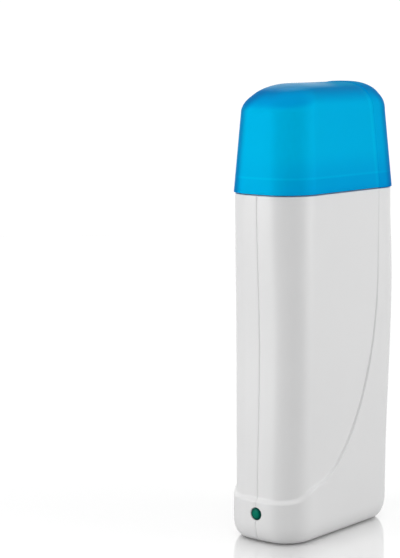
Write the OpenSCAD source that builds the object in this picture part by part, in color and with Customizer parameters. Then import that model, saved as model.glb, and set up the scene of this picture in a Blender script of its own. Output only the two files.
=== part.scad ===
// Hand-held heater for roll-on wax refills. Two half-shells, closed by a base plate and a
// neck collar, hold an aluminium well that a flat PTC heater warms. A translucent cap lifts off.
// X runs across the broad sides, Y from the front (lamp) to the rear (inlet), and Z is up.
// The origin is the middle of the base, on the surface that the heater stands on.

/* [Casing] */
// Width of the casing, front to rear, without the bow of its narrow sides
body_w = 80; // [78:1:92]
// Thickness of the casing, across its broad sides
body_t = 40; // [40:0.5:48]
// Height of the joint with the cap
body_h = 152.5; // [148:0.5:175]
// Wall of the half-shells
wall = 2.2; // [1.8:0.1:2.4]
// Radius of the four upright corners
corner_r = 13.5; // [11:0.5:15]
// Bow of the front side at the joint with the cap
crown_top = 2.4; // [1.8:0.1:3]
// Bow of the front side at mid-height
crown_mid = 0.2; // [0:0.1:0.6]
// Bow of the front side on the base band
crown_base = 1.7; // [1:0.1:2.2]
// Bow of the rear side, all the way up
rear_crown = 0.4; // [0.2:0.1:1]
// How far the rear side swells out at its fullest height
belly = 2.0; // [1:0.1:2.6]
// Height where the rear side is fullest
belly_z = 108; // [95:1:120]
// How far the rear side draws in at the base
rear_tuck = 1.2; // [0:0.1:2]
// Inset of the bottom edge's rounding
foot_inset = 4.4; // [3:0.1:5.5]
// Height of the bottom edge's rounding
foot_round = 8; // [5:0.5:10]

/* [Front panel] */
// Height of the base band, where the recessed panel starts
band_h = 20.5; // [18:0.5:26]
// Depth of the panel just above the band
panel_deep = 1.3; // [0.8:0.1:1.5]
// Depth of the panel at the joint, where its edge is a fine line
panel_fine = 0.3; // [0.2:0.05:0.5]
// Distance of the panel's upright edge behind the centre
edge_y = 21.5; // [16:0.5:24]
// Height where the panel's edge starts to curve forward
edge_z = 115; // [95:1:125]
// Width of the step along the panel's edge
step_w = 0.7; // [0.5:0.1:1.2]

/* [Cap] */
// Height of the cap above the joint
cap_h = 47.5; // [44:0.5:60]
// Wall of the cap
cap_wall = 1.8; // [1.5:0.1:2]
// How far the cap stands out over the casing
cap_over = 0.6; // [0.2:0.1:0.7]
// Height of the cap's straight side, below the shoulder
cap_side = 34.2; // [30:0.2:36]
// Lean of the cap's broad sides, in degrees
cap_draft = 3.7; // [2:0.1:4.5]
// Lean of the cap's front, in degrees
front_draft = 2.5; // [2:0.1:4]
// Lean of the cap's rear, in degrees
rear_draft = 4.9; // [3:0.1:5.5]
// Squareness of the cap's broad shoulders, 2 for an ellipse
shoulder = 2.2; // [2:0.1:2.6]
// Squareness of the cap's front shoulder
front_shoulder = 1.9; // [1.8:0.1:2.4]
// Squareness of the cap's rear shoulder
rear_shoulder = 2.6; // [2:0.1:2.8]
// Reach of the front shoulder, from the leaning side to the crest
front_fall = 22.5; // [18:0.5:24]
// Reach of the rear shoulder, from the leaning side to the crest
rear_fall = 17; // [15:0.5:20]
// Lean of the front panel's edge on the cap, in degrees
edge_draft = 4.6; // [3:0.1:6]
// Running clearance between the cap and what it slides over
cap_gap = 0.3; // [0.25:0.05:0.4]

/* [Neck collar] */
// Height of the neck above the joint
neck_h = 6.2; // [5:0.1:6.5]
// Depth of the collar inside the casing
collar_depth = 6.5; // [5:0.5:9]
// Clearance of the collar in the shells
collar_fit = 0.2; // [0.15:0.05:0.3]
// Top plate of the collar
bezel_t = 1.6; // [1.2:0.1:2]

/* [Well] */
// Width of the well, for the long side of a refill's tank
well_w = 52; // [49:0.5:53]
// Thickness of the well, for the short side of a refill's tank
well_t = 30.5; // [28:0.5:30.5]
// Inside corner radius of the well
well_r = 7; // [4:0.5:9]
// Sheet of the well
well_wall = 0.8; // [0.5:0.1:1]
// Height of the underside of the well
well_z = 48; // [46:0.5:56]
// Width of the lip round the mouth of the well
well_lip = 0.8; // [0.6:0.1:1]
// Thickness of the insulation on the broad sides of the well
sheet_t = 0.4; // [0.3:0.05:0.5]

/* [PTC heater] */
// Width of the heater's case
ptc_w = 21; // [18:0.5:22]
// Length of the heater's case
ptc_l = 62; // [50:1:66]
// Thickness of the heater's case
ptc_t = 6; // [5:0.1:6.4]
// Wall of the heater's case
ptc_wall = 1.2; // [0.9:0.1:1.3]
// Distance from the underside of the well to the heater
ptc_rise = 14; // [12:1:18]
// Thickness of each electrode
electrode_t = 0.4; // [0.3:0.05:0.5]
// Thickness of the insulating film round the electrodes
film_t = 0.15; // [0.1:0.01:0.2]
// Number of ceramic stones
stones = 3; // [2:1:4]
// Rise of the leaf spring's bow
spring_bow = 3; // [2.5:0.1:3.4]
// Thickness of the leaf spring
spring_t = 0.5; // [0.4:0.05:0.7]
// Width of the leaf spring
spring_w = 10; // [8:0.5:11]

/* [Thermal fuse] */
// Radius of the fuse's body
fuse_r = 1.9; // [1.6:0.1:2]
// Length of the fuse's body
fuse_l = 11.5; // [10:0.5:13]
// Height of the middle of the fuse
fuse_z = 95; // [88:1:104]
// Wall of the sleeve over the fuse
sleeve_wall = 0.5; // [0.4:0.05:0.6]
// Length of the sleeve over the fuse
sleeve_l = 30; // [24:1:34]
// Thickness of the clip over the sleeve
clip_t = 0.6; // [0.5:0.1:0.8]
// Length of the clip along the sleeve
clip_l = 8; // [6:0.5:12]

/* [Indicator] */
// Radius of the lens
lens_r = 2.7; // [2.3:0.1:3]
// Height of the lens
lens_z = 13.2; // [12:0.1:14]
// How far the lens stands out of the front
lens_out = 0.5; // [0.3:0.1:0.9]
// Radius of the neon lamp
lamp_r = 2.1; // [1.8:0.1:2.3]
// Length of the neon lamp
lamp_l = 11; // [9:0.5:12]
// Radius of the resistor
resistor_r = 1.15; // [0.9:0.05:1.2]
// Length of the resistor
resistor_l = 6.4; // [5:0.2:7]

/* [Mains inlet] */
// Height of the inlet
inlet_z = 22; // [21:0.5:24]
// Width of the inlet's recess
inlet_w = 16.6; // [16:0.2:17]
// Height of the inlet's recess
inlet_h = 8.6; // [8.2:0.1:9]
// Depth of the inlet's recess
inlet_d = 10.5; // [10:0.1:11]
// Wall round the inlet's recess
inlet_wall = 1.3; // [1:0.1:1.5]
// Distance between the inlet's pins
pin_gap = 8.6; // [8.4:0.1:8.8]
// Radius of the inlet's pins
pin_r = 1.19; // [1.1:0.01:1.25]
// Length of the pins in the recess
pin_l = 9; // [8:0.1:9.4]
// Height of the pins' thinner foot and of their bevelled tip
pin_ends = 0.4; // [0.3:0.05:0.5]

/* [Base] */
// How far the feet hold the casing off the surface
foot_h = 0.5; // [0.4:0.1:1]
// Radius of the feet
foot_r = 4; // [3:0.1:4.5]
// Depth of the feet in the base plate
foot_seat = 0.6; // [0.4:0.1:0.9]
// Thickness of the base plate
plate_t = 2.4; // [2.2:0.1:3]
// Width of the shells' rim round the base plate
plate_rim = 3; // [2.5:0.1:4]
// Clearance round the base plate
plate_fit = 0.25; // [0.15:0.05:0.4]
// Radius of the screws' shank
screw_r = 1.45; // [1.2:0.05:1.5]
// Radius of the screws' head
screw_head_r = 2.6; // [2.4:0.1:2.8]
// Length of the screws under the head
screw_l = 10; // [8:0.5:11]
// Radius of the screw bosses
boss_r = 3.5; // [3:0.1:3.8]

/* [Wiring] */
// Radius of the insulated wires
wire_r = 0.9; // [0.7:0.05:0.95]
// Radius of the crimp sleeves
crimp_r = 2.4; // [2.3:0.1:2.8]
// Length of the crimp sleeves
crimp_l = 12; // [10:0.5:13]

/* [Hidden] */

$fn = 48;
half_t = body_t / 2;
half_w = body_w / 2;
touch = 0.05;                     // play between inner pieces that lie on each other
play = 0.15;                      // play round the lens, the lamp and the inlet
seam_gap = 0.15;                  // half the space between inner ribs that meet at the seam
white = [0.93, 0.93, 0.92];
azure = [0.05, 0.6, 0.88, 0.75];
metal = [0.78, 0.79, 0.8];

// ---- the form of the casing, as functions of the height ----

function ease(t) = let(u = min(max(t, 0), 1)) u * u * (3 - 2 * u);
function mix(p, q, t) = p + (q - p) * ease(t);
mid_z = 85 * body_h / 152.5;      // height where the front is flattest

function front_bow(z) = z < mid_z
    ? mix(crown_base, crown_mid, (z - band_h) / (mid_z - band_h))
    : mix(crown_mid, crown_top, (z - mid_z) / (body_h - mid_z));
function rear_y(z) = half_w + (z < belly_z
    ? mix(-rear_tuck, belly, (z - band_h) / (belly_z - band_h))
    : mix(belly, 0, (z - belly_z) / (body_h - belly_z)));

// Depth of the front panel: nothing on the band, deepest above it, a fine line at the joint
function recess(z) = z < band_h ? 0
    : panel_fine + (panel_deep - panel_fine) * pow((body_h - z) / (body_h - band_h), 2);

// Edge of the panel on the broad side: upright, then a curve forward to the band
edge_start = -half_w + corner_r + 2;
function edge(z) = let(u = min(max((edge_z - z) / (edge_z - band_h), 0), 1))
    edge_start + (edge_y - edge_start) * pow(1 - u * u, 2 / 3);

// How far a corner of radius r draws back at the distance x past its start
function fall(x, r) = x > 0 ? r - sqrt(max(r * r - x * x, 0)) : 0;
// Inner wall of the shells: on the broad side at y, on the front and on the rear at x
corner_in = corner_r - wall;
function in_side(y, z) = half_t - wall - (y < edge(z) ? recess(z) : 0)
    - fall(max(-half_w + corner_r - y, y - rear_y(z) + corner_r), corner_in);
function in_front(x, z) = fall(x - half_t + corner_r, corner_in) + wall
    - (half_w - recess(z) + front_bow(z) * (1 - pow(x / half_t, 2)));
function in_rear(x, z) = rear_y(z) + rear_crown * (1 - pow(x / half_t, 2))
    - wall - fall(x - half_t + corner_r, corner_in);
// Outer wall on the rear at x
function out_rear(x, z) = rear_y(z) + rear_crown * (1 - pow(x / half_t, 2))
    - fall(x - half_t + corner_r, corner_r);

// ---- half an outline, from the front seam round one broad side to the rear seam ----

flat_n = 2;                       // steps on each narrow side, up to its corner
arc_n = 6;                        // steps round each corner
panel_n = 6;                      // steps from the front corner to the panel's edge
back_n = 4;                       // steps from the panel's edge to the rear corner
half_n = 2 * flat_n + 2 * arc_n + panel_n + back_n + 2;
edge_n = flat_n + arc_n + 1 + panel_n;

// t: half thickness, f and b: reach of the front and the rear, r: corner radius,
// cf and cb: bows, e: edge of the panel, d: its depth, s: width of the step
function half_outline(t, f, b, r, cf, cb, e, d, s) = let(
    t1 = t - d, f1 = f - d, r1 = max(r - d, 0.2),
    bow = function(x, c) c * (1 - pow(x / t, 2))) concat(
    [for (i = [0:flat_n - 1]) let(x = (t1 - r1) * i / flat_n) [x, -f1 - bow(x, cf)]],
    [for (i = [0:arc_n]) let(q = 90 * i / arc_n, x = t1 - r1 + r1 * sin(q))
        [x, -f1 + r1 - r1 * cos(q) - bow(x, cf)]],
    [for (i = [1:panel_n]) [t1, -f1 + r1 + (e + f1 - r1) * i / panel_n]],
    [for (i = [0:back_n - 1]) [t, e + s + (b - r - e - s) * i / back_n]],
    [for (i = [0:arc_n]) let(q = 90 * i / arc_n, x = t - r + r * cos(q))
        [x, b - r + r * sin(q) + bow(x, cb)]],
    [for (i = [1:flat_n]) let(x = (t - r) * (1 - i / flat_n)) [x, b + bow(x, cb)]]);

// The casing's half outline at height z, inset by w; d is the depth of the panel there
function body_outline(z, w, d) = half_outline(half_t - w, half_w - w, rear_y(z) - w,
    corner_r - min(w, corner_r - 1), front_bow(z), rear_crown, edge(z), d, step_w);

function raise(outline, z) = [for (p = outline) [p[0], p[1], z]];

// ---- half a shell as one skin, outer side, inner side and seam ----

foot_n = 4;
curve_n = 11;
top_n = 3;
ledge = 2.2;                      // height of the band's rounded top edge
ledge_n = 3;
// Heights and panel depths of the rings above the rounded bottom edge
ring_z = concat([for (i = [0:ledge_n - 1]) band_h - ledge * (1 - i / ledge_n)],
    [for (i = [0:curve_n]) edge_z - (edge_z - band_h) * cos(90 * i / curve_n)],
    [for (i = [1:top_n]) edge_z + (body_h - edge_z) * i / top_n]);
function ring_d(i) = i < ledge_n ? panel_deep * ease(i / ledge_n) : recess(ring_z[i] + 0.001);

// w is the inset of the skin; the rounded bottom edge of the inner skin starts at the floor
function skin(w) = let(floor_z = foot_h + w, turn = foot_round - w / 2) concat(
    [for (i = [0:foot_n - 1]) let(q = 90 * i / foot_n)
        raise(body_outline(0, w + (foot_inset - w / 4) * (1 - sin(q)), 0),
            floor_z + turn * (1 - cos(q)))],
    [raise(body_outline(0, w, 0), floor_z + turn)],
    [for (i = [0:len(ring_z) - 1]) raise(body_outline(ring_z[i], w, ring_d(i)), ring_z[i])]);

function flat_list(rings) = [for (r = rings) for (p = r) p];
// Two triangles for each field between ring j and the next, for n points in a ring
function strip(j, n, base, flip) = [for (i = [0:n - 2]) let(
    a = base + j * n + i, b = a + 1, c = a + n + 1, d = a + n)
    each flip ? [[a, b, c], [a, c, d]] : [[a, c, b], [a, d, c]]];

module half_skin() {
    outer = skin(0);
    inner = skin(wall);
    n = half_n;
    m = len(outer) - 1;
    k = (m + 1) * n;
    polyhedron(points = concat(flat_list(outer), flat_list(inner)), faces = concat(
        [for (j = [0:m - 1]) each strip(j, n, 0, false)],
        [for (j = [0:m - 1]) each strip(j, n, k, true)],
        [for (i = [0:n - 2]) each [[m * n + i, k + m * n + i + 1, m * n + i + 1],
            [m * n + i, k + m * n + i, k + m * n + i + 1]]],
        [for (j = [0:m - 1]) each [[j * n, k + (j + 1) * n, (j + 1) * n],
            [j * n, k + j * n, k + (j + 1) * n]]],
        [for (j = [0:m - 1]) let(a = j * n + n - 1, b = a + n)
            each [[a, b, k + b], [a, k + b, k + a]]],
        [[0, n - 1, k + n - 1, k]],
        [[for (i = [0:n - 1]) i]],
        [[for (i = [n - 1:-1:0]) k + i]]));
}

// ---- ribs, bosses and cuts of the shells ----

plate_x = half_t - foot_inset - plate_rim;
plate_y = half_w - rear_tuck - foot_inset - plate_rim;
plate_r = 6;
screw_x = 8;
screw_y = [-plate_y + 14, plate_y - 13];
boss_z = foot_h + plate_t;
boss_top = boss_z + screw_l + 0.6;

well_x = well_t / 2 + well_wall;
well_y = well_w / 2 + well_wall;
well_top = body_h - collar_depth;
shelf_t = 2.4;
rib_t = 1.6;
rib_x = 6;
tab_x = 3;
tab_w = 5;
shelf_x = tab_x + tab_w / 2 + wire_r + 0.4;       // clear of the wires to the heater's tabs

ptc_y = well_y;
ptc_z = well_z + ptc_rise;
guide_x = ptc_w / 2 + 0.4;
spring_l = ptc_l - 10;
spring_mid = ptc_z + ptc_l / 2;
spring_back = ptc_y + ptc_t + touch + spring_t + spring_bow;

lens_y = -(half_w + crown_base);
hook_z = [36, body_h - 19];
hook_h = 8;
hook_t = 1.4;
catch_in = 1.2;

snout_x = inlet_w / 2 + inlet_wall;
snout_h = inlet_h / 2 + inlet_wall;
inlet_face = out_rear(snout_x, inlet_z);
flange_edge = 1.4;
flange_in = in_rear(snout_x + flange_edge, inlet_z) - play;
flange_t = 1.6;
inlet_back = inlet_face - inlet_d - 2.5;

// A plate with round corners
module round_plate(x, y, r, h) {
    linear_extrude(h) {
        square([2 * (x - r), 2 * y], center = true);
        square([2 * x, 2 * (y - r)], center = true);
        for (i = [-1, 1], j = [-1, 1]) translate([i * (x - r), j * (y - r)]) circle(r);
    }
}

// An upright rib at x that follows the narrow wall from z0 to z1 and ends inside at y
module wall_rib(x, t, y, z0, z1, rear) {
    steps = 6;
    at = function(z) rear ? in_rear(x, z) + wall / 2 : in_front(x, z) - wall / 2;
    outline = concat([[y, z0]],
        [for (i = [0:steps]) let(z = z0 + (z1 - z0) * i / steps) [at(z), z]], [[y, z1]]);
    translate([x, 0, 0]) rotate([90, 0, 90]) linear_extrude(t) polygon(outline);
}

module shell_inside() {
    // shelves under the well, one at each end
    for (s = [-1, 1]) let(y = s < 0 ? -well_y : well_y - 8)
        translate([shelf_x, y, well_z - shelf_t])
            cube([in_side(y + 4, well_z) + wall / 2 - shelf_x, 8, shelf_t]);
    // ribs that centre the well, in front
    wall_rib(rib_x, rib_t, -well_y - touch, well_z + 8, well_top - 8, false);
    // ribs beside the heater's case and under the ends of its spring, behind
    wall_rib(guide_x, rib_t, ptc_y + 1.5, ptc_z, ptc_z + ptc_l, true);
    for (s = [-1, 1]) let(z = spring_mid + s * (spring_l / 2 - 2))
        wall_rib(seam_gap, rib_x - seam_gap, spring_back, z - 1.5, z + 1.5, true);
    // bosses for the base screws, each tied to the broad side
    for (y = screw_y) {
        translate([screw_x, y, boss_z]) cylinder(r = boss_r, h = boss_top - boss_z);
        translate([screw_x + boss_r / 2, y - rib_t / 2, boss_z + 2])
            cube([in_side(y, boss_z) + wall / 2 - screw_x - boss_r / 2, rib_t,
                boss_top - boss_z - 2]);
    }
    // cradle of the neon lamp
    translate([seam_gap, lamp_y + 3, lens_z - 5])
        cube([in_side(lamp_y + 3, lens_z) + wall / 2 - seam_gap, rib_t, 10]);
    // rib that holds the inlet's flange against the rear wall
    translate([snout_x + play, flange_in - flange_t - touch - rib_t, inlet_z - snout_h])
        cube([in_side(flange_in - flange_t - touch, inlet_z) + wall / 2 - snout_x - play,
            rib_t, 2 * snout_h]);
}

module shell_cuts() {
    translate([0, 0, foot_h - 1])
        round_plate(plate_x + plate_fit, plate_y + plate_fit, plate_r + plate_fit, wall + 1.5);
    for (y = screw_y) translate([screw_x, y, boss_z - 1])
        cylinder(r = screw_r + touch, h = boss_top - boss_z - 1 + 1);
    translate([0, lens_y - 2, lens_z]) rotate([-90, 0, 0])
        cylinder(r = lens_r + 0.1, h = wall + 4);
    translate([0, lamp_y, lens_z]) rotate([-90, 0, 0]) cylinder(r = lamp_r + play, h = lamp_l);
    inlet_snout(play, flange_in - 2, 8);
}

module half_shell() {
    difference() {
        union() {
            half_skin();
            shell_inside();
        }
        shell_cuts();
    }
}

// Outer form of the inlet's snout, a slot with round ends, from y over the length l
module inlet_snout(grow, y, l) {
    r = snout_h + grow;
    translate([0, y, inlet_z]) rotate([-90, 0, 0]) linear_extrude(l) {
        square([2 * (snout_x - snout_h), 2 * r], center = true);
        for (s = [-1, 1]) translate([s * (snout_x - snout_h), 0]) circle(r);
    }
}

// A hook reaches over the seam from one shell behind a catch on the other
module hooks() {
    for (z = hook_z, s = [-1, 1]) let(
        y = s < 0 ? in_front(0, z) : in_rear(0, z), far = y - s * (catch_in + 0.3)) {
        translate([-6, min(far, far - s * hook_t), z - hook_h / 2]) cube([10.6, hook_t, hook_h]);
        translate([-6, min(far, y + s * wall / 2), z - hook_h / 2])
            cube([3, catch_in + 0.3 + wall / 2, hook_h]);
        translate([3.1, min(far, far + s), z - hook_h / 2]) cube([1.5, 1, hook_h]);
    }
}

module catches() {
    for (z = hook_z, s = [-1, 1]) let(y = s < 0 ? in_front(2, z) : in_rear(2, z))
        translate([1.2, min(y - s * catch_in, y + s * wall / 2), z - hook_h / 2])
            cube([1.6, catch_in + wall / 2, hook_h]);
}

module right_shell() {
    color(white) {
        half_shell();
        catches();
    }
}

module left_shell() {
    color(white) {
        mirror([1, 0, 0]) half_shell();
        hooks();
    }
}

// ---- cap ----

cap_z = body_h + cap_gap;
cap_rise = cap_h - cap_gap;
// Insets of the broad sides, the front and the rear: lean, shoulder and reach of each
lean = [cap_draft, front_draft, rear_draft];
square_of = [shoulder, front_shoulder, rear_shoulder];
ridge = 1.5;                      // half width of the flat strip along the crest
fall_of = [half_t + cap_over - cap_side * tan(cap_draft) - ridge, front_fall, rear_fall];
side_n = 3;
dome_n = 8;

// Ring of the cap's skin: h above the rim, in the three insets there, w the depth below the
// outer skin
function cap_ring(h, in, w, drop, lift) = let(
    t = half_t + cap_over - w - in[0], y = half_w + cap_over - w, fade = 1 - h / cap_rise,
    r = max(min(corner_r + cap_over - w, t * 0.88), panel_fine + 0.3),
    e = min(edge_y - h * tan(edge_draft), y - in[2] - r - 1.5 * step_w),
    side = half_outline(t, y - in[1], y - in[2], r, crown_top * fade,
        rear_crown * fade, e, panel_fine * drop, step_w),
    level = function(k) cap_z + h - (k <= edge_n - 1 ? panel_fine * lift : 0)) concat(
    [for (k = [0:half_n - 1]) [side[k][0], side[k][1], level(k)]],
    [for (k = [half_n - 2:-1:1]) [-side[k][0], side[k][1], level(k)]]);

// Insets where the straight side has height h, and at the share v of the dome's height
function side_in(h) = [for (a = lean) h * tan(a)];
function dome_in(v, w) = [for (k = [0:2]) cap_side * tan(lean[k]) + (fall_of[k] - w)
    * (1 - pow(max(1 - pow(v, square_of[k]), 0), 1 / square_of[k]))];

function cap_skin(w) = let(dome = cap_rise - cap_side - w) concat(
    [for (j = [0:side_n - 1]) let(h = cap_side * j / side_n) cap_ring(h, side_in(h), w, 1, 0)],
    [for (j = [0:dome_n]) let(q = 90 * j / dome_n, v = pow(sin(q), 2 / shoulder))
        cap_ring(cap_side + dome * v, dome_in(v, w), w, cos(q), sin(q))]);

module cap() {
    outer = cap_skin(0);
    inner = cap_skin(cap_wall);
    n = 2 * half_n - 2;
    m = len(outer) - 1;
    k = (m + 1) * n;
    turn = function(j, base, flip) [for (i = [0:n - 1]) let(
        a = base + j * n + i, b = base + j * n + (i + 1) % n, c = b + n, d = a + n)
        each flip ? [[a, b, c], [a, c, d]] : [[a, c, b], [a, d, c]]];
    // the crest closes with a front field, a rear field and the step between them; each field
    // is a fan round a point in its middle
    front = concat([for (i = [0:edge_n - 1]) i], [for (i = [n - edge_n + 1:n - 1]) i]);
    rear = [for (i = [edge_n:n - edge_n]) i];
    step = [edge_n - 1, edge_n, n - edge_n, n - edge_n + 1];
    middle = function(ring) [for (p = [[0, edge_n - 1], [edge_n, half_n - 1]])
        [0, (ring[p[0]][1] + ring[p[1]][1]) / 2, ring[p[0]][2]]];
    fan = function(f, base, c, flip) [for (i = [0:len(f) - 1]) let(
        a = base + m * n + f[i], b = base + m * n + f[(i + 1) % len(f)])
        flip ? [b, a, c] : [a, b, c]];
    crest = function(base, c, flip) concat(fan(front, base, c, flip), fan(rear, base, c + 1, flip),
        [for (t = [[0, 1, 2], [0, 2, 3]]) let(q = [for (i = t) base + m * n + step[i]])
            flip ? [q[2], q[1], q[0]] : q]);
    points = concat(flat_list(outer), flat_list(inner), middle(outer[m]), middle(inner[m]));
    color(azure) polyhedron(points = points, faces = concat(
        [for (j = [0:m - 1]) each turn(j, 0, false)],
        [for (j = [0:m - 1]) each turn(j, k, true)],
        [for (i = [0:n - 1]) let(a = i, b = (i + 1) % n) each [[a, b, k + b], [a, k + b, k + a]]],
        crest(0, 2 * k, true), crest(k, 2 * k + 2, false)));
}

// ---- neck collar and base ----

// Inset of the collar: free of the shells below the joint and of the cap's leaning side above
collar_in = max(wall + collar_fit,
    cap_wall - cap_over + neck_h * tan(cap_draft) + cap_gap);
mouth_x = well_t / 2 + 0.3;
mouth_y = well_w / 2 + 0.3;

module neck_collar() {
    side = body_outline(body_h, collar_in, panel_fine);
    outline = concat(side, [for (k = [half_n - 2:-1:1]) [-side[k][0], side[k][1]]]);
    pocket_y = mouth_y + 1.6;
    pocket_end = half_w - collar_in - 1.6;
    color(white) difference() {
        translate([0, 0, well_top]) linear_extrude(collar_depth + neck_h) polygon(outline);
        translate([0, 0, well_top - 1])
            round_plate(mouth_x, mouth_y, well_r + 0.3, collar_depth + neck_h + 2);
        for (s = [-1, 1]) translate([-10, s < 0 ? -pocket_end : pocket_y, well_top - 1])
            cube([20, pocket_end - pocket_y, collar_depth + neck_h - bezel_t + 1]);
    }
}

foot_at = [[7.5, -plate_y + 5], [7.5, plate_y - 5]];

module base_plate() {
    color(white) difference() {
        translate([0, 0, foot_h]) round_plate(plate_x, plate_y, plate_r, plate_t);
        for (s = [-1, 1]) {
            for (y = screw_y) translate([s * screw_x, y, foot_h]) {
                translate([0, 0, -1]) cylinder(r = screw_r + 0.25, h = plate_t + 2);
                translate([0, 0, -1]) cylinder(r = screw_head_r + 0.3, h = head_deep + 1);
            }
            for (p = foot_at) translate([s * p[0], p[1], foot_h - 1])
                cylinder(r = foot_r + touch, h = foot_seat + 1);
        }
    }
}

head_deep = 1.4;
head_t = 1.2;

module base_screws() {
    color(metal) for (s = [-1, 1], y = screw_y)
        translate([s * screw_x, y, foot_h + head_deep - head_t]) difference() {
            union() {
                cylinder(r = screw_head_r, h = head_t);
                cylinder(r = screw_r, h = head_t + screw_l - head_deep + 1);
            }
            for (a = [0, 90]) rotate([0, 0, a])
                translate([-screw_head_r * 0.6, -0.25, -1]) cube([screw_head_r * 1.2, 0.5, 1.7]);
        }
}

module rubber_feet() {
    color([0.25, 0.25, 0.26]) for (s = [-1, 1], p = foot_at)
        translate([s * p[0], p[1], 0]) cylinder(r = foot_r, h = foot_h + foot_seat);
}

// ---- well and heater ----

module heater_well() {
    color(metal) difference() {
        union() {
            translate([0, 0, well_z])
                round_plate(well_x, well_y, well_r + well_wall, well_top - well_z);
            translate([0, 0, well_top - 1])
                round_plate(well_x + well_lip, well_y + well_lip, well_r + well_wall + well_lip, 1);
        }
        translate([0, 0, well_z + well_wall])
            round_plate(well_t / 2, well_w / 2, well_r, well_top - well_z);
    }
}

module insulation_sheets() {
    z = well_z + 14;
    color([0.85, 0.8, 0.66]) for (s = [-1, 1])
        translate([s > 0 ? well_x : -well_x - sheet_t, -well_y + well_r + 3, z])
            cube([sheet_t, 2 * (well_y - well_r - 3), well_top - 4 - z]);
}

stack_y = ptc_y + ptc_t / 2;
stack_in = ptc_t / 2 - ptc_wall - touch;          // half thickness inside the film's outside
stone_h = stack_in - film_t - electrode_t;        // half thickness of the stones
stone_x = ptc_w / 2 - ptc_wall - film_t - 2 * touch;

module ptc_case() {
    color(metal) translate([0, stack_y, ptc_z]) difference() {
        translate([-ptc_w / 2, -ptc_t / 2, 0]) cube([ptc_w, ptc_t, ptc_l]);
        translate([-ptc_w / 2 + ptc_wall, -ptc_t / 2 + ptc_wall, -1])
            cube([ptc_w - 2 * ptc_wall, ptc_t - 2 * ptc_wall, ptc_l + 2]);
    }
}

module ptc_film() {
    x = stone_x + touch + film_t;
    color([0.8, 0.55, 0.15]) translate([0, stack_y, ptc_z + 0.5]) difference() {
        translate([-x, -stack_in, 0]) cube([2 * x, 2 * stack_in, ptc_l - 1]);
        translate([-x + film_t, -stack_in + film_t, -1])
            cube([2 * (x - film_t), 2 * (stack_in - film_t), ptc_l + 1]);
    }
}

module ptc_stones() {
    pitch = (ptc_l - 4) / stones;
    color([0.35, 0.35, 0.33]) for (i = [0:stones - 1])
        translate([-stone_x + 0.5, stack_y - stone_h, ptc_z + 2 + i * pitch + 0.5])
            cube([2 * stone_x - 1, 2 * stone_h, pitch - 1]);
}

tab_z = ptc_z - 6;

module ptc_electrodes() {
    color([0.75, 0.6, 0.35]) for (s = [-1, 1])
        translate([0, s > 0 ? stack_y + stone_h : stack_y - stone_h - electrode_t, 0]) {
            translate([-stone_x, 0, ptc_z + 1]) cube([2 * stone_x, electrode_t, ptc_l - 3]);
            translate([s > 0 ? -tab_x - tab_w : tab_x, 0, tab_z])
                cube([tab_w, electrode_t, ptc_z + 2 - tab_z]);
        }
}

// A strip bent to an arc: its middle presses on the case, its ends on the shells' ribs
module leaf_spring() {
    chord = spring_l / 2;
    radius = (chord * chord + spring_bow * spring_bow) / (2 * spring_bow);
    color(metal) translate([-spring_w / 2, ptc_y + ptc_t + touch, spring_mid])
        rotate([90, 0, 90]) linear_extrude(spring_w) intersection() {
            translate([radius, 0]) difference() {
                circle(radius, $fn = 180);
                circle(radius - spring_t, $fn = 180);
            }
            translate([-1, -chord + 1]) square([spring_bow + spring_t + 1, 2 * chord - 2]);
        }
}

// ---- thermal fuse ----

sleeve_r = fuse_r + touch + sleeve_wall;
fuse_y = -well_y - touch - sleeve_r;
lead_r = 0.4;
lead_end = [fuse_z - sleeve_l / 2 - 4, fuse_z + sleeve_l / 2 + 4];

module thermal_fuse() {
    color(metal) translate([0, fuse_y, 0]) {
        translate([0, 0, fuse_z - fuse_l / 2]) cylinder(r = fuse_r, h = fuse_l);
        translate([0, 0, lead_end[0]]) cylinder(r = lead_r, h = lead_end[1] - lead_end[0]);
    }
}

module fuse_sleeve() {
    color([0.9, 0.88, 0.8]) translate([0, fuse_y, fuse_z - sleeve_l / 2]) difference() {
        cylinder(r = sleeve_r, h = sleeve_l);
        translate([0, 0, -1]) cylinder(r = fuse_r + touch, h = sleeve_l + 2);
    }
}

module fuse_clip() {
    r = sleeve_r + touch;
    foot = 1.5;
    color(metal) translate([0, 0, fuse_z - clip_l / 2]) linear_extrude(clip_l) difference() {
        union() {
            translate([0, fuse_y]) circle(r + clip_t);
            translate([-r - clip_t, fuse_y]) square([2 * (r + clip_t), -well_y - fuse_y]);
            translate([-r - clip_t - foot, -well_y - clip_t])
                square([2 * (r + clip_t + foot), clip_t]);
        }
        translate([0, fuse_y]) circle(r);
        translate([-r, fuse_y]) square([2 * r, 2 * r]);
    }
}

// ---- indicator ----

lens_in = lens_y + wall + play;                   // front face of the lens's flange
lamp_y = lens_in + 1.4;
lamp_end = lamp_y + lamp_l;
lamp_lead = 1.25;                                 // distance of each lead from the middle
resistor_y = lamp_end + 2;
resistor_end = resistor_y + resistor_l;

module indicator_lens() {
    dome = 0.9;
    ball = (lens_r * lens_r + dome * dome) / (2 * dome);
    color([0.05, 0.5, 0.35]) translate([0, lens_in, lens_z]) rotate([90, 0, 0]) {
        intersection() {
            cylinder(r = lens_r, h = wall + lens_out);
            translate([0, 0, wall + lens_out - ball]) sphere(ball, $fn = 96);
        }
        translate([0, 0, -1.2]) cylinder(r = lens_r + 0.9, h = 1.2);
    }
}

module neon_lamp() {
    color([0.8, 0.7, 0.6]) translate([0, lamp_y, lens_z]) rotate([-90, 0, 0]) {
        translate([0, 0, lamp_r]) sphere(lamp_r);
        translate([0, 0, lamp_r]) cylinder(r = lamp_r, h = lamp_l - lamp_r);
        for (s = [-1, 1]) translate([s * lamp_lead, 0, lamp_l - 0.5])
            cylinder(r = 0.3, h = s > 0 ? 2.5 : 3.5);
    }
}

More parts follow.
